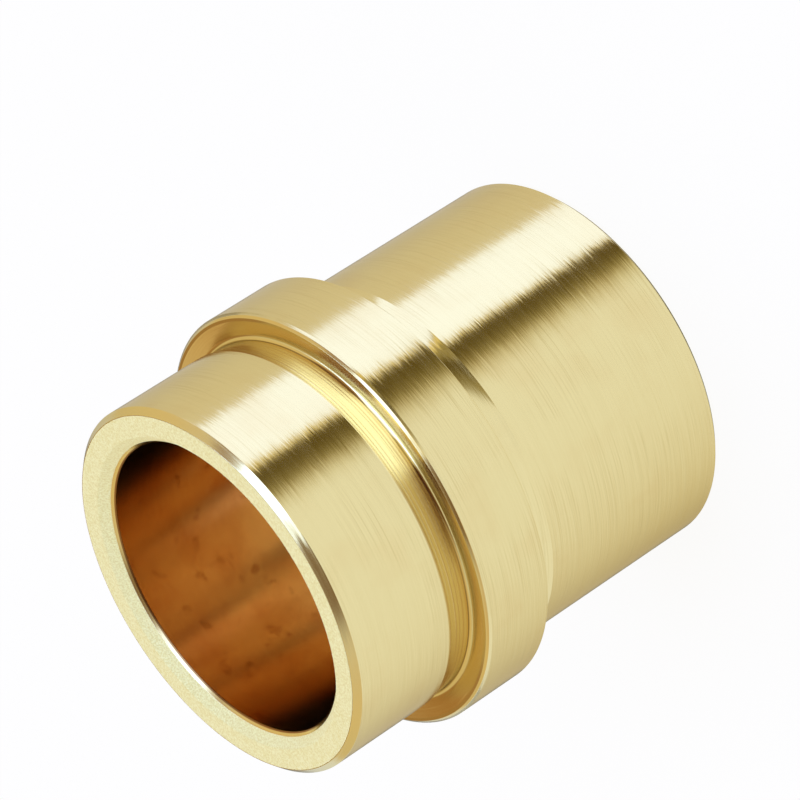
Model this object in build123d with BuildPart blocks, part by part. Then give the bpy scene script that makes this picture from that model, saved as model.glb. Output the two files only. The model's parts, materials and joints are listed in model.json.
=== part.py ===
from build123d import *
import os
from math import radians, tan

# Guide bushing, turned in one piece from brass bar. Sizes are in millimetres.
# The bore lies on Z. The bushing stands on its rear end face at Z = 0, with the front spigot on top.

# Driving dimensions: diameters
bore_diameter = 30.0
spigot_diameter = 38.0
collar_diameter = 43.0
body_diameter = 38.0

# Driving dimensions: the three steps along the axis
spigot_length = 13.85
collar_width = 7.55
body_length = 24.6

# Driving dimensions: the reliefs beside the collar
# The collar's faces are dished towards them, so that only a land at its rim seats.
spigot_relief_width = 2.5
body_relief_width = 3.0
relief_depth = 0.3
relief_ramp_angle = 14.0
relief_foot_radius = 9.0
relief_root_radius = 0.45
relief_face_angle = 15.0
collar_land_width = 0.3

# An arc between two straight runs takes up at most this share of the shorter one
largest_share_of_run = 0.95

# Driving dimensions: chamfers, all at 45 degrees
bore_chamfer = 1.2
spigot_end_chamfer = 0.6
collar_front_chamfer = 0.4
collar_rear_chamfer = 0.15
body_end_chamfer = 0.4

# Radii and heights worked out from the driving dimensions
bore_radius = bore_diameter / 2
spigot_radius = spigot_diameter / 2
collar_radius = collar_diameter / 2
body_radius = body_diameter / 2
collar_rear = body_length
collar_front = collar_rear + collar_width
overall_length = collar_front + spigot_length
relief_ramp_length = relief_depth / tan(radians(relief_ramp_angle))


def relief_points(seat_radius, collar_face, relief_end, collar_chamfer):
    """Seat corner, ramp foot, sharp root and land edge of the relief from relief_end to the collar's land."""
    towards_seat = 1 if relief_end > collar_face else -1
    floor_radius = seat_radius - relief_depth
    land_radius = collar_radius - collar_chamfer - collar_land_width
    face_depth = (land_radius - floor_radius) * tan(radians(relief_face_angle))
    return [
        (seat_radius, relief_end),
        (floor_radius, relief_end - towards_seat * relief_ramp_length),
        (floor_radius, collar_face - towards_seat * face_depth),
        (land_radius, collar_face),
    ]


def fitting_radius(wanted_radius, turn, *runs):
    """The wanted radius, or the largest whose arc, turning by that angle, fits the runs beside it."""
    return min(wanted_radius, largest_share_of_run * min(runs) / tan(turn / 2))


def relief_radii(points):
    """Foot and root radius of a relief: the root takes its part of the floor first, the foot the rest."""
    seat_corner, foot, root, land_edge = (Vector(*point) for point in points)
    ramp, floor, face = (foot - seat_corner).length, (root - foot).length, (land_edge - root).length
    root_turn = radians(90 + relief_face_angle)
    root_radius = fitting_radius(relief_root_radius, root_turn, floor, face)
    floor_left = floor - root_radius * tan(root_turn / 2)
    return fitting_radius(relief_foot_radius, radians(relief_ramp_angle), ramp, floor_left), root_radius


body_relief = relief_points(body_radius, collar_rear, collar_rear - body_relief_width, collar_rear_chamfer)
spigot_relief = relief_points(
    spigot_radius, collar_front, collar_front + spigot_relief_width, collar_front_chamfer
)

with BuildPart() as guide_bushing:
    with BuildSketch(Plane.XZ) as half_section:
        # the outline runs up the outside from the rear end and back down the bore
        with BuildLine():
            Polyline(
                (bore_radius, 0),
                (body_radius, 0),
                *body_relief,
                (collar_radius, collar_rear),
                (collar_radius, collar_front),
                *reversed(spigot_relief),
                (spigot_radius, overall_length),
                (bore_radius, overall_length),
                close=True,
            )
        make_face()

        # the ramp's foot and the root of each relief are arcs
        for relief in (body_relief, spigot_relief):
            for corner, corner_radius in zip(relief[1:3], relief_radii(relief)):
                fillet(half_section.vertices().sort_by_distance(corner)[0], corner_radius)

        # each end of the bore and each outer corner has its own chamfer
        for corner, chamfer_length in (
            ((bore_radius, 0), bore_chamfer),
            ((bore_radius, overall_length), bore_chamfer),
            ((body_radius, 0), body_end_chamfer),
            ((collar_radius, collar_rear), collar_rear_chamfer),
            ((collar_radius, collar_front), collar_front_chamfer),
            ((spigot_radius, overall_length), spigot_end_chamfer),
        ):
            chamfer(half_section.vertices().sort_by_distance(corner)[0], chamfer_length)
    revolve(axis=Axis.Z)

os.makedirs("parts", exist_ok=True)
guide_bushing.part.label = "guide_bushing"
export_step(guide_bushing.part, "parts/guide_bushing.step")
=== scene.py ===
import json
import math

import bpy
import numpy as np
from mathutils import Matrix, Vector


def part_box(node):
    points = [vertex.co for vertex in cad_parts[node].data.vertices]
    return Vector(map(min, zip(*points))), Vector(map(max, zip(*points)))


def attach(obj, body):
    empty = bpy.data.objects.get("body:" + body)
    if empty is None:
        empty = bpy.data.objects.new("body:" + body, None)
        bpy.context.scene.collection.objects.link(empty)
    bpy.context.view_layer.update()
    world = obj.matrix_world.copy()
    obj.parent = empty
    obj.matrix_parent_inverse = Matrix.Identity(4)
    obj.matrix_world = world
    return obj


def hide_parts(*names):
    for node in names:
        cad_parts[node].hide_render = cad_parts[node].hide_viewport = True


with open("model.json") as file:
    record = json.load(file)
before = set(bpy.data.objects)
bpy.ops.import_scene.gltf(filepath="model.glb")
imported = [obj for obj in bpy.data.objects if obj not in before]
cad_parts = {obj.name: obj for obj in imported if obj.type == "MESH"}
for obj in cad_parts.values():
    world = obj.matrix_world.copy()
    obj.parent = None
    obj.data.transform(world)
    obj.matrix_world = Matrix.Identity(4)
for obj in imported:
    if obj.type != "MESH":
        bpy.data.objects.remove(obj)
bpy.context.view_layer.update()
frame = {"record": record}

# A guide bushing, turned in one piece from brass bar, standing on its rear end. Lengths are in metres.

MM = 0.001

# Sizes taken from the frame

mounts = {mount["name"]: mount for mount in frame["record"]["mounts"]}
bore_radius = mounts["bore"]["dims"]["r_mm"] * MM
spigot_radius = mounts["spigot"]["dims"]["r_mm"] * MM
body_radius = mounts["body"]["dims"]["r_mm"] * MM
collar_rear = mounts["collar_rear_face"]["pos_m"][2]
collar_front = mounts["collar_front_face"]["pos_m"][2]
far_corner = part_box("guide_bushing")[1]
collar_radius = far_corner.x
overall_length = far_corner.z

# Small forms that the frame's mounts don't name, with the sizes of the CAD source

bore_chamfer = 1.2 * MM
spigot_end_chamfer = 0.6 * MM
collar_front_chamfer = 0.4 * MM
collar_rear_chamfer = 0.15 * MM
body_end_chamfer = 0.4 * MM
spigot_relief_width = 2.5 * MM
body_relief_width = 3.0 * MM
relief_depth = 0.3 * MM
relief_root_radius = 0.45 * MM
relief_foot_radius = 9.0 * MM
relief_ramp_angle = math.radians(14.0)
relief_face_angle = math.radians(15.0)
relief_ramp_length = relief_depth / math.tan(relief_ramp_angle)
collar_land_width = 0.3 * MM
end_chamfer_height = overall_length - spigot_end_chamfer

# The mesh: the radius of a broken corner, the points of its arc, the steps round the axis, and how far along
# the run beside an arc one more point lies

edge_break = 0.05 * MM
corner_steps = 11
steps_round = 360
edge_support = 0.04 * MM

# The finishes, in the order of the bushing's materials

OUTSIDE, FACED, RELIEF, BORED = range(4)

# Where a finish changes on its own surface

edge_fade = 0.06 * MM
collar_fade = 0.05 * MM
shaded_rim_radius = collar_radius - 0.2 * MM
dished_inner_radius = spigot_radius + 0.15 * MM
dished_outer_radius = collar_radius - collar_front_chamfer - collar_land_width
# where the fine line of painted shade lies, in the roots of the reliefs
root_shade_inner_radius = spigot_radius - relief_depth + 0.012 * MM
root_shade_outer_radius = root_shade_inner_radius + 0.05 * MM
matt_inner_radius = bore_radius + 0.35 * MM
# inside this radius the bore's chamfer is painted dark, as painted shade
painted_shade_ring_radius = bore_radius + 0.12 * MM


def placed(name, data):
    """New object of the scene that holds a mesh or a camera."""
    made = bpy.data.objects.new(name, data)
    bpy.context.scene.collection.objects.link(made)
    return made


# The turned surface


def relief_corners(seat_radius, collar_face, relief_end, collar_chamfer):
    """Rows of radius, height and corner radius: ramp top, ramp foot, root and edge of the collar's land."""
    towards_seat = math.copysign(1, relief_end - collar_face)
    floor_radius = seat_radius - relief_depth
    land_radius = collar_radius - collar_chamfer - collar_land_width
    face_depth = (land_radius - floor_radius) * math.tan(relief_face_angle)
    return [
        (seat_radius, relief_end, edge_break),
        (floor_radius, relief_end - towards_seat * relief_ramp_length, relief_foot_radius),
        (floor_radius, collar_face - towards_seat * face_depth, relief_root_radius),
        (land_radius, collar_face, edge_break),
    ]


def bushing_corners():
    """Half section, up the outside and down the bore, as rows of radius, height, corner radius and finish.

    The finish is that of the run after the corner, and the next corner's arc has it too.
    """
    body_relief = relief_corners(
        body_radius, collar_rear, collar_rear - body_relief_width, collar_rear_chamfer
    )
    ramp_top, ramp_foot, root, land_edge = relief_corners(
        spigot_radius, collar_front, collar_front + spigot_relief_width, collar_front_chamfer
    )
    return np.array([
        (bore_radius + bore_chamfer, 0, edge_break, FACED),
        (body_radius - body_end_chamfer, 0, edge_break, OUTSIDE),
        (body_radius, body_end_chamfer, edge_break, OUTSIDE),
        *((*corner, OUTSIDE) for corner in body_relief),
        (collar_radius - collar_rear_chamfer, collar_rear, edge_break, OUTSIDE),
        (collar_radius, collar_rear + collar_rear_chamfer, edge_break, OUTSIDE),
        (collar_radius, collar_front - collar_front_chamfer, edge_break, OUTSIDE),
        (collar_radius - collar_front_chamfer, collar_front, edge_break, OUTSIDE),
        (*land_edge, OUTSIDE),
        (*root, RELIEF),
        (*ramp_foot, RELIEF),
        (*ramp_top, OUTSIDE),
        (spigot_radius, end_chamfer_height, edge_break, OUTSIDE),
        (spigot_radius - spigot_end_chamfer, overall_length, edge_break, FACED),
        (bore_radius + bore_chamfer, overall_length, edge_break, FACED),
        (bore_radius, overall_length - bore_chamfer, edge_break, BORED),
        (bore_radius, bore_chamfer, edge_break, FACED),
    ])


def rounded(corners):
    """Closed outline whose corners are arcs tangent to both runs, as one row of points for each corner.

    A corner of radius R that turns through D starts R * tan(D / 2) before the corner, and its point at
    share u is start + R * (sin(u D) * coming + (1 - cos(u D)) * inward). One more point on the run at each
    side of an arc keeps the shading of the run flat.
    """
    place, radius = corners[:, :2], corners[:, 2:3]
    leaving = np.roll(place, -1, axis=0) - place
    leaving = leaving / np.linalg.norm(leaving, axis=1, keepdims=True)
    coming = np.roll(leaving, 1, axis=0)
    side = np.stack([-coming[:, 1], coming[:, 0]], axis=1)
    across = np.sum(side * leaving, axis=1, keepdims=True)
    turn = np.arctan2(np.abs(across), np.sum(coming * leaving, axis=1, keepdims=True))
    inward = side * np.sign(across)
    start = place - coming * (radius * np.tan(turn / 2))
    sweep = (turn * np.linspace(0, 1, corner_steps))[:, :, None]
    arc = start[:, None] + radius[:, None] * (
        np.sin(sweep) * coming[:, None] + (1 - np.cos(sweep)) * inward[:, None]
    )
    before = arc[:, :1] - coming[:, None] * edge_support
    after = arc[:, -1:] + leaving[:, None] * edge_support
    return np.concatenate([before, arc, after], axis=1)


def ring_finishes(corners, points_per_corner):
    """For each point of the rounded outline, the finish of the ring of faces that leaves it.

    The rings of a corner's arc have the finish of the run before it, and its last ring that of the run after.
    """
    run_after = corners[:, 3:]
    run_before = np.roll(run_after, 1, axis=0)
    return np.concatenate([np.repeat(run_before, points_per_corner - 1, axis=1), run_after], axis=1)


def lathed(name, outline, finishes, materials):
    """Mesh of a closed outline carried round Z: the point at angle a is (r sin a, -r cos a, z).

    finishes holds, for each point of the outline, the material of the ring of faces that leaves it.
    """
    angle = np.linspace(0, 2 * np.pi, steps_round, endpoint=False)
    radius, height = outline[:, :1], outline[:, 1:]
    heights = np.broadcast_to(height, (len(outline), steps_round))
    points = np.stack([radius * np.sin(angle), -radius * np.cos(angle), heights], axis=-1)
    row = np.arange(len(outline))[:, None] * steps_round
    next_row = np.roll(row, -1, axis=0)
    column = np.arange(steps_round)[None, :]
    next_column = np.roll(column, -1, axis=1)
    faces = np.stack([row + column, row + next_column, next_row + next_column, next_row + column], axis=-1)
    mesh = bpy.data.meshes.new(name)
    mesh.from_pydata(points.reshape(-1, 3), [], faces.reshape(-1, 4).tolist())
    mesh.shade_smooth()
    for material in materials:
        mesh.materials.append(material)
    mesh.polygons.foreach_set("material_index", np.repeat(finishes.astype(np.int32), steps_round))
    return placed(name, mesh)


# Node materials


class Wire:
    """An output socket that takes part in plain arithmetic; each operator adds its Math node."""

    def __init__(self, nodes, socket):
        self.nodes = nodes
        self.socket = socket

    def __add__(self, other):
        return self.nodes.math("ADD", self, other)

    def __sub__(self, other):
        return self.nodes.math("SUBTRACT", self, other)

    def __rsub__(self, other):
        return self.nodes.math("SUBTRACT", other, self)

    def __mul__(self, other):
        return self.nodes.math("MULTIPLY", self, other)

    def __truediv__(self, other):
        return self.nodes.math("DIVIDE", self, other)

    __radd__ = __add__
    __rmul__ = __mul__


def opaque(colour):
    """What a colour socket takes: three numbers with an alpha of 1, or a wire as it is."""
    return colour if isinstance(colour, Wire) else (*colour, 1)


class Nodes:
    """The node tree of a material or of the world."""

    def __init__(self, owner):
        owner.use_nodes = True
        self.tree = owner.node_tree
        self.tree.nodes.clear()

    def node(self, kind, settings=None, sockets=None, output=0):
        """Adds a node, sets its settings, then fills its sockets with values or links; returns one output."""
        made = self.tree.nodes.new(kind)
        for key, value in (settings or {}).items():
            setattr(made, key, value)
        for key, value in (sockets or {}).items():
            if isinstance(value, Wire):
                self.tree.links.new(value.socket, made.inputs[key])
            else:
                made.inputs[key].default_value = value
        return Wire(self, made.outputs[output]) if made.outputs else None

    def math(self, operation, *values):
        """One Math node."""
        return self.node("ShaderNodeMath", {"operation": operation}, dict(enumerate(values)))

    def vector_math(self, operation, *values, output="Vector"):
        """One Vector Math node."""
        return self.node("ShaderNodeVectorMath", {"operation": operation}, dict(enumerate(values)), output)

    def vector(self, *parts):
        """A vector made of three numbers or wires."""
        return self.node("ShaderNodeCombineXYZ", sockets=dict(enumerate(parts)))

    def parts(self, vector):
        """The three parts of a vector."""
        return (self.node("ShaderNodeSeparateXYZ", sockets={0: vector}, output=axis) for axis in "XYZ")

    def step(self, value, start, end):
        """Smooth step from 0 at start to 1 at end."""
        sockets = {"Value": value, "From Min": start, "From Max": end}
        return self.node("ShaderNodeMapRange", {"interpolation_type": "SMOOTHSTEP"}, sockets)

    def above(self, value, edge, fade):
        """0 below the edge and 1 above it, with a fade that is centred on the edge."""
        return self.step(value, edge - fade / 2, edge + fade / 2)

    def between(self, value, low, high, low_fade, high_fade):
        """1 where low < value < high, with a fade of its own centred on each edge."""
        return self.above(value, low, low_fade) * (1 - self.above(value, high, high_fade))

    def blend(self, share, first, second):
        """Colour mix: first where share is 0, second where it is 1."""
        sockets = {"Factor": share, 6: opaque(first), 7: opaque(second)}
        return self.node("ShaderNodeMix", {"data_type": "RGBA"}, sockets, output=2)


# Rings are counted by height plus this share of the radius, which shows them on every turned surface
ring_radius_share = 1.6

# A reflection is drawn out across the rings, a quarter turn from along them
quarter_turn = 0.25


class Brass(Nodes):
    """A brass finish under construction, with the coordinates that its patterns share."""

    def __init__(self, name):
        self.material = bpy.data.materials.new(name)
        super().__init__(self.material)
        self.place = self.node("ShaderNodeTexCoord", output="Object")
        self.x, self.y, self.z = self.parts(self.place)
        self.radius = self.vector_math("LENGTH", self.vector(self.x, self.y, 0.0), output="Value")
        self.across_rings = self.z + self.radius * ring_radius_share
        self.normal = self.node("ShaderNodeNewGeometry", output="Normal")

    def rings(self, pitch, length, seed, detail=2.0):
        """Noise drawn out round the axis: a mark is about length long and pitch wide.

        The seed moves the marks along, so that no two patterns are alike.
        """
        stretched = self.vector(self.x / length, self.y / length, self.across_rings / pitch + seed)
        return self.node("ShaderNodeTexNoise", sockets={"Vector": stretched, "Scale": 1.0, "Detail": detail})

    def fine_rings(self):
        """The closest of the turned rings, which run on from one finish to the next."""
        return self.rings(pitch=0.14 * MM, length=8 * MM, seed=3.0)

    def grain(self, size, detail):
        """Even noise whose specks are about size across."""
        sockets = {"Vector": self.place, "Scale": 1 / size, "Detail": detail}
        return self.node("ShaderNodeTexNoise", sockets=sockets)

    def cloud(self, size, low, high):
        """Soft patches about size across: 0 below the low noise level, 1 above the high one."""
        return self.step(self.grain(size, detail=4.0), low, high)

    def scale_normal(self, sideways, upwards):
        """Shades a slope as if it were steeper or flatter, by shrinking a part of its normal."""
        self.normal = self.vector_math("MULTIPLY", self.normal, self.vector(sideways, sideways, upwards))

    def tilt_normal(self, pitch, length, tilt):
        """Swings the normal to either side round the axis, by short marks that follow the rings.

        Longer and sparser marks, which swing it one way only, stand among them.
        """
        round_axis = self.node("ShaderNodeTangent", {"direction_type": "RADIAL", "axis": "Z"})
        short = self.rings(pitch, length, seed=41.0) - 0.5
        forwards = self.step(self.rings(pitch, length * 3, seed=63.0), 0.56, 0.66)
        backwards = self.step(self.rings(pitch, length * 3, seed=87.0), 0.56, 0.66)
        swing = (short + (forwards - backwards) * 0.5) * tilt
        self.normal = self.vector_math("MULTIPLY_ADD", round_axis, swing, self.normal)

    def finish(self, colour, roughness, height, depth, glancing_share, anisotropic=0.0):
        """Metal of that colour, which keeps the share of its reflection at a glancing angle."""
        bump = self.node("ShaderNodeBump", sockets={
            "Strength": 1.0, "Distance": depth, "Height": height, "Normal": self.normal,
        })
        shader = self.node("ShaderNodeBsdfPrincipled", sockets={
            "Base Color": colour,
            "Metallic": 1.0,
            "Roughness": roughness,
            "Specular Tint": opaque([glancing_share] * 3),
            "Anisotropic": anisotropic,
            "Anisotropic Rotation": quarter_turn,
            "Normal": bump,
        })
        self.node("ShaderNodeOutputMaterial", sockets={"Surface": shader})
        return self.material


def outside_brass():
    """Turned and polished with fine cloth: close rings, long scratches along them, and faint stains.

    The collar's dished faces are painted more golden, as a painted reflection of the relief; a fine dark line
    of painted shade lies in the roots of the reliefs; and the spigot's end chamfer is painted paler, as a
    painted reflection of the sky. The outer part of the collar's chamfers is shaded nearly upright, so that
    it looks like the cylinder beside it.
    """
    brass = Brass("outside_brass")
    fine = brass.fine_rings()
    coarse = brass.rings(pitch=0.5 * MM, length=12 * MM, seed=11.0)
    line = brass.step(brass.rings(pitch=0.10 * MM, length=12 * MM, seed=27.0, detail=3.0), 0.50, 0.68)
    scratch = line * brass.cloud(9 * MM, 0.38, 0.62)
    stain = brass.cloud(6 * MM, 0.45, 0.75)
    clean = brass.blend(stain * 0.8, (0.79, 0.70, 0.375), (0.765, 0.65, 0.335))
    scored = brass.blend(scratch * 0.32 + (fine - 0.4) * 0.20, clean, (0.62, 0.51, 0.23))

    in_collar = brass.between(brass.z, collar_rear, collar_front, collar_fade, collar_fade)
    dished = brass.between(brass.radius, dished_inner_radius, dished_outer_radius, collar_fade, collar_fade)
    # painted reflection: the dished faces are tinted more golden, for the warm relief that they reflect
    golden_painted_reflection = brass.blend(in_collar * dished, scored, (0.82, 0.66, 0.32))
    # painted reflection: the spigot's end chamfer is painted paler, for the pale sky that it reflects
    end_light_mask = brass.above(brass.z, end_chamfer_height, edge_fade)
    painted_end_light = brass.blend(end_light_mask, golden_painted_reflection, (0.79, 0.74, 0.45))
    # painted shade: a fine dark line painted in the roots of the reliefs, where the crease lies in shade
    root_painted_shade = brass.between(
        brass.radius, root_shade_inner_radius, root_shade_outer_radius, 0.01 * MM, 0.02 * MM
    )
    # the painted shade in the relief roots goes over all the other colours
    colour = brass.blend(in_collar * root_painted_shade * 0.55, painted_end_light, (0.14, 0.09, 0.03))

    at_rim = brass.above(brass.radius, shaded_rim_radius, edge_fade)
    brass.scale_normal(sideways=1.0, upwards=1 - at_rim * 0.8)
    brass.tilt_normal(pitch=0.12 * MM, length=1.8 * MM, tilt=0.04)
    return brass.finish(
        colour,
        roughness=0.155 + (coarse - 0.5) * 0.10 + scratch * 0.08,
        height=fine * 0.6 + coarse * 0.4,
        depth=0.012 * MM,
        glancing_share=0.75,
        anisotropic=0.7,
    )


def relief_brass():
    """Front relief, left as the rounded tool cut it, with turning marks right round it."""
    brass = Brass("relief_brass")
    mark = brass.step(brass.rings(pitch=0.26 * MM, length=60 * MM, seed=8.0, detail=1.0), 0.46, 0.60)
    stain = brass.cloud(6 * MM, 0.45, 0.75)
    clean = brass.blend(stain * 0.5, (0.80, 0.72, 0.42), (0.77, 0.66, 0.35))
    return brass.finish(
        brass.blend(mark * 0.5, clean, (0.62, 0.47, 0.21)),
        roughness=0.15 + mark * 0.05,
        height=brass.fine_rings() * 0.3 + mark * 0.7,
        depth=0.010 * MM,
        glancing_share=0.75,
        anisotropic=0.6,
    )


def faced_brass():
    """Matt end face: pale, with a fine even grain that runs on over most of the bore's chamfer.

    The grain scatters so evenly that the chamfer hardly stands out, which its flattened normal gives. A
    bright polished ring follows below it, and then a ring of painted shade, painted as dark as the bore
    looks.
    """
    brass = Brass("faced_brass")
    matt = brass.above(brass.radius, matt_inner_radius, edge_fade)
    bright = brass.above(brass.radius, painted_shade_ring_radius, edge_fade)
    grain = brass.step(brass.grain(0.16 * MM, detail=1.0), 0.25, 0.75)
    pale = brass.blend(grain, (0.91, 0.87, 0.49), (1.0, 1.0, 0.69))
    # painted shade: the innermost ring is painted dark to look as dark as the bore; the ring above it is
    # polished
    polish_and_painted_shade = brass.blend(bright, (0.30, 0.16, 0.06), (0.80, 0.70, 0.38))
    brass.scale_normal(sideways=1 - matt * 0.75, upwards=1.0)
    return brass.finish(
        brass.blend(matt, polish_and_painted_shade, pale),
        roughness=matt * 0.60 + 0.18,
        height=grain * matt,
        depth=0.010 * MM,
        glancing_share=1.0,
    )


def bored_brass():
    """Bore wall: a warmer, tarnished brass with soft brown patches, dark at a glancing angle."""
    brass = Brass("bored_brass")
    fine = brass.rings(pitch=0.2 * MM, length=8 * MM, seed=5.0)
    tarnish = brass.cloud(5 * MM, 0.40, 0.70)
    spot = brass.cloud(1.6 * MM, 0.58, 0.74)
    worn = brass.blend(tarnish * 0.8, (0.78, 0.55, 0.275), (0.67, 0.39, 0.16))
    return brass.finish(
        brass.blend(spot * 0.8, worn, (0.54, 0.28, 0.10)),
        roughness=0.17 + (fine - 0.5) * 0.06,
        height=fine,
        depth=0.002 * MM,
        glancing_share=0.05,
        anisotropic=0.5,
    )


corners = bushing_corners()
outline = rounded(corners)
bushing = lathed(
    "bushing",
    outline.reshape(-1, 2),
    ring_finishes(corners, outline.shape[1]).ravel(),
    [outside_brass(), faced_brass(), relief_brass(), bored_brass()],
)
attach(bushing, "root")
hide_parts("guide_bushing")

# Studio: a white background, which the metal shows too, and strips over it that the camera doesn't see.
# Directions are in degrees: azimuth 0 faces -Y, and turns towards -X as it grows.

white = (1, 1, 1)
plain_white = (0.97, 0.97, 0.97)
horizon = 3
horizon_fade = 4

# Below the horizon, each strip: azimuths from and to, their fades, its lean and its light.
# Its azimuths shift by the lean for each degree of elevation above the one that the upright walls reflect.
upright_elevation = -30
low_strips = {
    "brown_wall": ((120, 200), (130, 1), 8, (0.71, 0.57, 0.31)),
    "tan_wall": ((-200, -87), (1, 4), 0, (0.82, 0.73, 0.58)),
    "right_of_back": ((166, 200), (14, 1), 0, (0.28, 0.26, 0.22)),
    "left_of_back": ((-200, -168), (1, 14), 0, (0.32, 0.30, 0.27)),
    "brown_edge": ((-84, -26), (3, 24), 0.3, (0.60, 0.47, 0.17)),
    "brown_tail": ((-80, -30), (3, 8), 0.9, (0.34, 0.27, 0.11)),
    "white_window": ((-89, -47), (3, 2), -0.3, (1.28, 1.40, 2.00)),
    "golden_edge": ((-50, -45), (2, 2), -0.1, (0.95, 0.75, 0.30)),
    "dark_gap": ((-47, -33.5), (3, 20), 0.5, (0.11, 0.072, 0.010)),
}

# Above it, each strip: the planes through the object that cut it out, and its light.
# Each plane is given by the azimuth and elevation that it faces, on the strip's side, and by its fade.
wall_light = (0.75, 0.63, 0.45)
shade_sides = ((90, 0, 3.4), (-76, 34.5, 22.9))
high_strips = {
    "back_wall": (((180, -36.9, 28.6),), (0.73, 0.64, 0.48)),
    "left_wall": (((-90, -40, 17.2), (-35, 0, 22.9)), wall_light),
    "right_wall": (((90, -40, 17.2), (35, 0, 22.9)), wall_light),
    "back_right": (
        ((-101.5, 0, 11.5), (109.9, 0, 5.7), (0, 70, 5.7), (180, -36.9, 11.5)), (0.40, 0.25, 0.12)
    ),
    "shade": ((*shade_sides, (30, -24, 3.4)), (0.22, 0.12, 0.05)),
    "low_shade": ((*shade_sides, (30, -45, 11.5)), (0.11, 0.035, 0.010)),
    "left_shade": (((-90, -38.7, 6.9), (-126.4, -19.9, 4.6), (6, 0, 9.2)), (0.34, 0.20, 0.10)),
    "cream_gap": (((-90, 0, 3.4), (70, 0, 6.9)), (0.95, 0.86, 0.60)),
    "window_in_front": (((-110, 0, 6.9), (53.6, 19.9, 5.7), (0, 0, 11.5)), (1.7, 2.0, 3.0)),
    "window_above": (
        ((-90, 0, 3.4), (90, 33.4, 6.9), (0, 26.6, 13.8), (180, 26.6, 11.5)), (1.9, 2.4, 4.0)
    ),
}
ceiling_light = (0.86, 0.82, 0.68)

# This tint lies over all above the horizon: in full up to the first elevation, and gone at the second
low_tint = (1.09, 0.95, 0.66)
tint_fades_from, tint_fades_to = 20, 60


def facing(azimuth, elevation):
    """Unit vector that points that way."""
    turn, rise = math.radians(azimuth), math.radians(elevation)
    return -math.sin(turn) * math.cos(rise), -math.cos(turn) * math.cos(rise), math.sin(rise)


def background_rays(nodes):
    """1 for the rays that see the background white: the camera's, and those that metal or glass sends on."""
    camera_ray, glossy_ray, transmission_ray = (
        nodes.node("ShaderNodeLightPath", output=kind)
        for kind in ("Is Camera Ray", "Is Glossy Ray", "Is Transmission Ray")
    )
    return camera_ray + glossy_ray + transmission_ray


def low_light(room, azimuth, elevation):
    """The background with the strips below the horizon, each over those before it."""
    light = room.blend(background_rays(room), plain_white, white)
    for azimuths, fades, lean, strip_light in low_strips.values():
        leaning = azimuth - (elevation - upright_elevation) * lean
        light = room.blend(room.between(leaning, *azimuths, *fades), light, strip_light)
    return light


def high_light(room, direction, elevation):
    """The ceiling with the strips above the horizon, each over those before it, and the tint over all."""
    light = ceiling_light
    for planes, strip_light in high_strips.values():
        inside = 1.0
        for plane_azimuth, plane_elevation, fade in planes:
            normal = facing(plane_azimuth, plane_elevation)
            along = room.vector_math("DOT_PRODUCT", direction, normal, output="Value")
            inside = room.above(along, 0, math.radians(fade)) * inside
        light = room.blend(inside, light, strip_light)
    low_part = 1 - room.step(elevation, tint_fades_from, tint_fades_to)
    return room.vector_math("MULTIPLY", light, room.blend(low_part, white, low_tint))


def studio_world():
    """The world: the strips below and above the horizon, and white alone for the camera."""
    world = bpy.data.worlds.new("studio")
    room = Nodes(world)
    direction = room.node("ShaderNodeTexCoord", output="Generated")
    x, y, z = room.parts(direction)
    degree = 180 / math.pi
    azimuth = room.math("ARCTAN2", x * -1, y * -1) * degree
    elevation = room.math("ARCSINE", z) * degree
    light = room.blend(
        room.above(elevation, horizon, horizon_fade),
        low_light(room, azimuth, elevation),
        high_light(room, direction, elevation),
    )
    light = room.blend(room.node("ShaderNodeLightPath", output="Is Camera Ray"), light, white)
    background = room.node("ShaderNodeBackground", sockets={"Color": light, "Strength": 1.0})
    room.node("ShaderNodeOutputWorld", sockets={"Surface": background})
    return world


bpy.context.scene.world = studio_world()

floor_half = 4.0
floor_drop = 0.1 * MM
white_share = 0.92


def floor_paint():
    """White floor that keeps the object's shadow: part diffuse, part white by itself."""
    material = bpy.data.materials.new("floor_paint")
    paint = Nodes(material)
    surface = paint.node("ShaderNodeMixShader", sockets={
        0: background_rays(paint) * white_share,
        1: paint.node("ShaderNodeBsdfDiffuse", sockets={"Color": opaque(plain_white)}),
        2: paint.node("ShaderNodeEmission", sockets={"Color": opaque(white), "Strength": 1.0}),
    })
    paint.node("ShaderNodeOutputMaterial", sockets={"Surface": surface})
    return material


floor_mesh = bpy.data.meshes.new("floor")
floor_corners = ((-1, -1), (1, -1), (1, 1), (-1, 1))
floor_points = [(x * floor_half, y * floor_half, -floor_drop) for x, y in floor_corners]
floor_mesh.from_pydata(floor_points, [], [(0, 1, 2, 3)])
floor_mesh.materials.append(floor_paint())
floor = placed("floor", floor_mesh)
# the upright walls reflect what lies below the horizon, so the metal looks past the floor at the studio
floor.visible_glossy = False
floor.visible_shadow = False

# Camera, placed by the photograph's ellipses

photo_width = 800
focal_pixels = 5276.66
half_pixel = 0.5
sensor_width = 36.0
camera_place = Vector((0, -0.42584, 0.26706))
camera_heading = math.radians(-0.774)
camera_looks_down = math.radians(30.268)
camera_roll = math.radians(-122.60)

lens = bpy.data.cameras.new("camera")
lens.sensor_width = sensor_width
lens.lens = sensor_width * focal_pixels / photo_width
lens.clip_start = 0.01
lens.clip_end = 20.0
lens.shift_x = -half_pixel / photo_width
lens.shift_y = half_pixel / photo_width
camera = placed("camera", lens)
camera.matrix_world = (
    Matrix.Translation(camera_place)
    @ Matrix.Rotation(camera_heading, 4, "Z")
    @ Matrix.Rotation(math.pi / 2 - camera_looks_down, 4, "X")
    @ Matrix.Rotation(camera_roll, 4, "Z")
)
bpy.context.scene.camera = camera
bpy.context.scene.view_settings.view_transform = "Standard"
